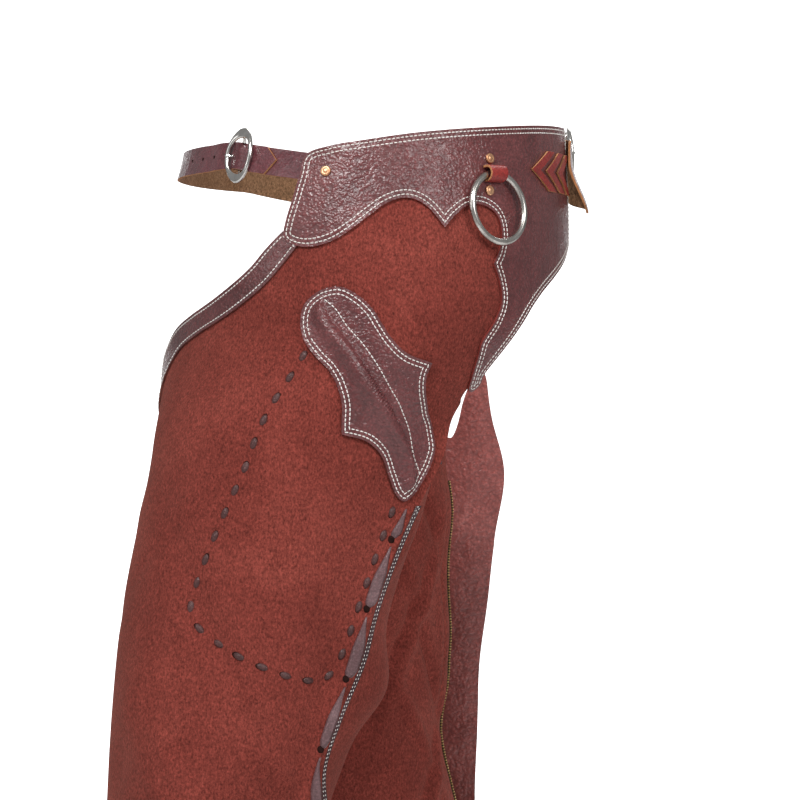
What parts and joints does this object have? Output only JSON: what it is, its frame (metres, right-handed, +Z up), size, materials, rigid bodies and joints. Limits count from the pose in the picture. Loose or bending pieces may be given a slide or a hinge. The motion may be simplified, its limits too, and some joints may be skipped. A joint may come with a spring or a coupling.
{
  "type": "work chaps",
  "caption": "Hollow worn leather work chaps: two wrapped legs, scalloped hip yokes, buckled waist straps and a swinging hip ring.",
  "frame": {"origin": "centre of the waist opening, level with the front of the yokes' top edge", "axes": "+Z up, the wearer faces -Y and the wearer's left side is at +X"},
  "size_m": [0.4742, 0.3604, 0.9613],
  "materials": {
    "suede_rust": "rough-out suede",
    "smooth_oxblood": "pebbled, satin",
    "strap_oxblood": "smooth, satin",
    "lace_oxblood": "smooth, satin",
    "red_leather": "smooth, satin",
    "nickel": "polished nickel plate",
    "copper": "copper",
    "zip_tape": "woven cotton tape"
  },
  "bodies": {
    "garment": {"leg_L": "suede_rust", "leg_R": "suede_rust", "yoke_L": "smooth_oxblood", "yoke_R": "smooth_oxblood", "binding_L": "smooth_oxblood", "binding_R": "smooth_oxblood", "facing_L": "smooth_oxblood", "facing_R": "smooth_oxblood", "knife_pocket": "smooth_oxblood", "front_strap_L": "strap_oxblood", "front_billet_R": "strap_oxblood", "back_strap_L": "strap_oxblood", "back_billet_R": "strap_oxblood", "lace_L_1": "lace_oxblood", "lace_L_2": "lace_oxblood", "lace_L_3": "lace_oxblood", "lace_L_4": "lace_oxblood", "lace_L_5": "lace_oxblood", "lace_L_6": "lace_oxblood", "lace_L_7": "lace_oxblood", "lace_L_8": "lace_oxblood", "lace_L_9": "lace_oxblood", "lace_L_10": "lace_oxblood", "lace_L_11": "lace_oxblood", "lace_L_12": "lace_oxblood", "lace_L_13": "lace_oxblood", "lace_R_1": "lace_oxblood", "lace_R_2": "lace_oxblood", "lace_R_3": "lace_oxblood", "lace_R_4": "lace_oxblood", "lace_R_5": "lace_oxblood", "lace_R_6": "lace_oxblood", "lace_R_7": "lace_oxblood", "lace_R_8": "lace_oxblood", "lace_R_9": "lace_oxblood", "lace_R_10": "lace_oxblood", "lace_R_11": "lace_oxblood", "lace_R_12": "lace_oxblood", "lace_R_13": "lace_oxblood", "ring_loop": "red_leather", "chevron_L_1": "red_leather", "chevron_L_2": "red_leather", "chevron_L_3": "red_leather", "chevron_R_1": "red_leather", "chevron_R_2": "red_leather", "chevron_R_3": "red_leather", "front_buckle": "nickel", "back_buckle": "nickel", "ring_rivet_upper": "copper", "ring_rivet_lower": "copper", "front_rivet_L": "copper", "front_rivet_R": "copper", "zip_inner_L": "zip_tape", "zip_inner_R": "zip_tape", "zip_outer_L": "zip_tape", "zip_outer_R": "zip_tape"},
    "ring": {"hip_ring": "nickel"}
  },
  "joints": [
    {"name": "ring_swing", "type": "hinge", "parent": "garment", "child": "ring", "pos_m": [0.1525, 0.09123, -0.02157], "axis": [0.6644, -0.7474, 0], "range_deg": [0, 150]}
  ]
}
